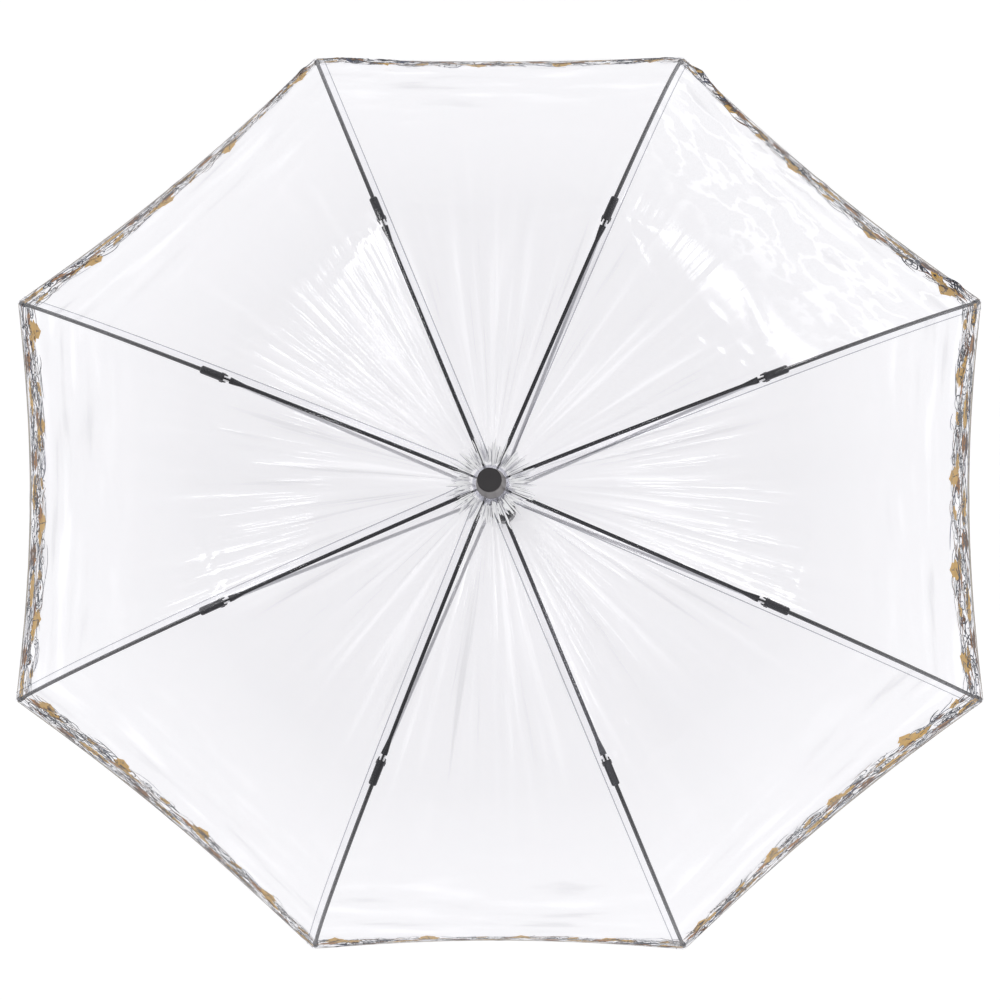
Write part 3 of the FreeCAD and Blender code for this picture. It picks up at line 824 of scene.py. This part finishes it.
def border_pieces(gore):
    """A gore's border as two meshes, each on the rib beside it."""
    drawing = border(gore)
    points, shares = drawing.placed()
    names = list(INKS)
    rib_of = {-1: gore, 1: following(gore)}
    for half in (-1, 1):
        kept = [
            number for number, face in enumerate(drawing.faces)
            if (shares[list(face)].mean() <= 0) == (half < 0)
        ]
        used = sorted({corner for number in kept for corner in drawing.faces[number]})
        index = {corner: place for place, corner in enumerate(used)}
        faces = [tuple(index[corner] for corner in drawing.faces[number]) for number in kept]
        tones = [names.index(drawing.tones[number]) for number in kept]
        rib = rib_of[half]
        side = 1 if half < 0 else -1
        name = f"border_print_{'after' if side > 0 else 'before'}_rib_{rib}"
        piece = mesh_object(name, points[used], faces, list(INKS.values()), face_materials=tones)
        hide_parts(f"canopy_gore_{gore}")
        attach(piece, body_name(rib, 2))
        grid, _, starts = GORES[gore]
        _, columns = gore_beside(rib, side)
        gather(piece, *fold_axis(grid[starts[2]:starts[3] + 1, columns], side))


# ---- welded seams beside the ribs ----
def seam_strip(rib, level):
    """The overlap of two gores: a second layer of film beside the rib, with its cut edge drawn as a grey
    line of painted shade.
    """
    gore, _ = gore_beside(rib, SIDES["before"])
    grid, normals, starts = GORES[gore]
    rows = slice(max(starts[level], ROWS_UNDER_WASHER), starts[level + 1] + 1)
    seam, normal = grid[rows, -1], normals[rows, -2]
    toward = grid[rows, HALF_COLUMNS] - seam
    toward /= np.linalg.norm(toward, axis=1, keepdims=True)
    room = np.linalg.norm(grid[rows, HALF_COLUMNS] - seam, axis=1)
    points = []
    for width in (0.0, SEAM_OVERLAP, SEAM_OVERLAP + SEAM_CUT_EDGE):
        reach = np.minimum(width * MM, room * 0.8)[:, None]
        points.append(seam + toward * reach + normal * SEAM_LIFT * MM)
    count = len(seam)
    points = np.concatenate(points)
    faces = [(i, i + 1, count + i + 1, count + i) for i in range(count - 1)]
    faces += [(count + i, count + i + 1, 2 * count + i + 1, 2 * count + i) for i in range(count - 1)]
    tones = [0] * (count - 1) + [1] * (count - 1)
    name = f"seam_{LEVEL_NAMES[level]}_rib_{rib}"
    piece = mesh_object(name, points, faces, [OVERLAP, SEAM_EDGE_SHADE], face_materials=tones)
    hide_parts(f"canopy_gore_{gore}")
    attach(piece, body_name(rib, level))


# ---- the pinched folds around the ferrule, drawn as painted highlights with painted shaded edges ----
def crown_fold_painted_light(rib, side_name):
    """Thin doubled folds that run out from under the ferrule, each a strip of painted white highlight
    with a painted grey shaded edge.
    """
    side = SIDES[side_name]
    gore, columns = gore_beside(rib, side)
    rng = np.random.default_rng(200 + 2 * rib + (side > 0))
    half_width = half_width_of(gore)
    points, faces, tones = [], [], []
    for number in range(FOLDS_PER_HALF):
        place = -side + side * (number + rng.uniform(0.2, 0.8)) / FOLDS_PER_HALF
        runs = np.linspace(rng.uniform(0, 4), rng.uniform(11, 23), FOLD_POINTS) * MM
        wide = rng.uniform(0.9, 2.2) * MM * np.sin(np.linspace(0.5, math.pi - 0.3, FOLD_POINTS))
        sway = rng.uniform(-0.05, 0.05) * np.linspace(0, 1, FOLD_POINTS)
        half = np.vectorize(half_width)(runs)
        # the first strip is a painted white highlight down the fold, the second a painted grey shade
        # along its edge
        for tone, start, end in ((0, -1.0, 0.0), (1, 0.0, 0.22)):
            first = len(points)
            for edge in (start, end):
                shares = np.clip(place + sway + edge * wide / half, -0.99, 0.99)
                film = gore_surface(gore, shares, runs)
                radius = np.linalg.norm(film[:, :2], axis=1)
                film[:, 2] += wrinkles(gore, shares, runs, radius, half_width) + FOLD_LIFT
                points.extend(film.tolist())
            for i in range(first, first + FOLD_POINTS - 1):
                faces.append((i, i + 1, i + FOLD_POINTS + 1, i + FOLD_POINTS))
                tones.append(tone)
    name = f"crown_folds_{side_name}_rib_{rib}"
    piece = mesh_object(name, np.array(points), faces, [FOLD_HIGHLIGHT, FOLD_SHADE], face_materials=tones)
    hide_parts(f"canopy_gore_{gore}")
    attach(piece, body_name(rib, 0))
    grid, _, starts = GORES[gore]
    gather(piece, *fold_axis(grid[starts[0]:starts[1] + 1, columns], side))


# ---- floor, light and camera ----
FLOOR_REACH = 12.0
FLOOR_GLOW = 0.27  # as if lit from behind, like a studio's white ground
WORLD_STRENGTH = 0.36
OVERHEAD_SIZE = 5.0
OVERHEAD_RISE = 2.9  # above the crown
OVERHEAD_RADIANCE = 0.95
STRIP_DISTANCE = 1.9


def floor():
    low = cad_bounds[0][2] - 0.5 * MM
    signs = ((-1, -1), (1, -1), (1, 1), (-1, 1))
    corners = np.array([(x * FLOOR_REACH, y * FLOOR_REACH, low) for x, y in signs])
    material, _, shader = principled("pale_floor", (0.9, 0.9, 0.9), 0.9)
    shader.inputs["Emission Color"].default_value = (1, 1, 1, 1)
    shader.inputs["Emission Strength"].default_value = FLOOR_GLOW
    plane = mesh_object("floor", corners, [(0, 1, 2, 3)], [material])


def area_light(name, place, target, size, power):
    light = bpy.data.lights.new(name, "AREA")
    light.shape = "RECTANGLE"
    light.size, light.size_y = size
    light.energy = power
    lamp = bpy.data.objects.new(name, light)
    lamp.location = place
    lamp.rotation_euler = (Vector(target) - Vector(place)).to_track_quat("-Z", "Y").to_euler()
    bpy.context.scene.collection.objects.link(lamp)


def strip_light(name, bearing, low, high, width, radiance):
    """An upright softbox beside the umbrella, out of the picture, that the film mirrors as streaks."""
    angle = math.radians(bearing)
    middle = (low + high) / 2
    place = (STRIP_DISTANCE * math.cos(angle), STRIP_DISTANCE * math.sin(angle), middle)
    size = (width, high - low)
    area_light(name, place, (0, 0, middle), size, radiance * math.pi * size[0] * size[1])


def lights():
    world = bpy.data.worlds.new("studio")
    world.use_nodes = True
    background = world.node_tree.nodes["Background"]
    background.inputs["Color"].default_value = (0.98, 0.985, 1.0, 1)
    background.inputs["Strength"].default_value = WORLD_STRENGTH
    bpy.context.scene.world = world
    place = (0, 0, JOINTS["rib_1_fold"].z + OVERHEAD_RISE)
    power = OVERHEAD_RADIANCE * math.pi * OVERHEAD_SIZE**2
    area_light("overhead", place, (0, 0, 0), (OVERHEAD_SIZE, OVERHEAD_SIZE), power)
    strip_light("strip_upper_right", bearing=42, low=0.3, high=0.46, width=0.45, radiance=6)
    strip_light("strip_right", bearing=-8, low=0.5, high=1.6, width=0.2, radiance=6)
    strip_light("strip_lower_right", bearing=-62, low=0.7, high=2.0, width=0.35, radiance=5)
    strip_light("strip_upper_left", bearing=128, low=0.6, high=1.8, width=0.2, radiance=6)
    strip_light("strip_left", bearing=188, low=0.2, high=1.2, width=0.2, radiance=6)


CAMERA_DISTANCE = 2.0  # above the crown
CAMERA_TILT = 2.3  # between the shaft and the camera's line of sight
TILT_BEARING = -66.0  # the way that the camera stands off the shaft's axis
FOCAL_LENGTH = 105.7
SENSOR = 36.0
AIM = (6 * MM, -11 * MM)  # the middle of the picture, from the crown


def camera():
    data = bpy.data.cameras.new("camera")
    data.sensor_width = SENSOR
    data.lens = FOCAL_LENGTH
    eye = bpy.data.objects.new("camera", data)
    bpy.context.scene.collection.objects.link(eye)
    crown = Vector((0, 0, JOINTS["rib_1_fold"].z))
    off = CAMERA_DISTANCE * math.tan(math.radians(CAMERA_TILT))
    bearing = math.radians(TILT_BEARING)
    place = crown + Vector((off * math.cos(bearing), off * math.sin(bearing), CAMERA_DISTANCE))
    target = crown + Vector((*AIM, 0))
    back = (place - target).normalized()
    right = Vector((0, 1, 0)).cross(back).normalized()
    up = back.cross(right)
    turn = Matrix((right, up, back)).transposed().to_4x4()
    eye.matrix_world = Matrix.Translation(place) @ turn
    bpy.context.scene.camera = eye


bpy.context.scene.view_settings.view_transform = "Standard"
finish_cad_nodes()
all_film()
for number in RIBS:
    border_pieces(number)
    for stretch in LEVELS:
        seam_strip(number, stretch)
    for side_of_rib in SIDES:
        crown_fold_painted_light(number, side_of_rib)
floor()
lights()
camera()
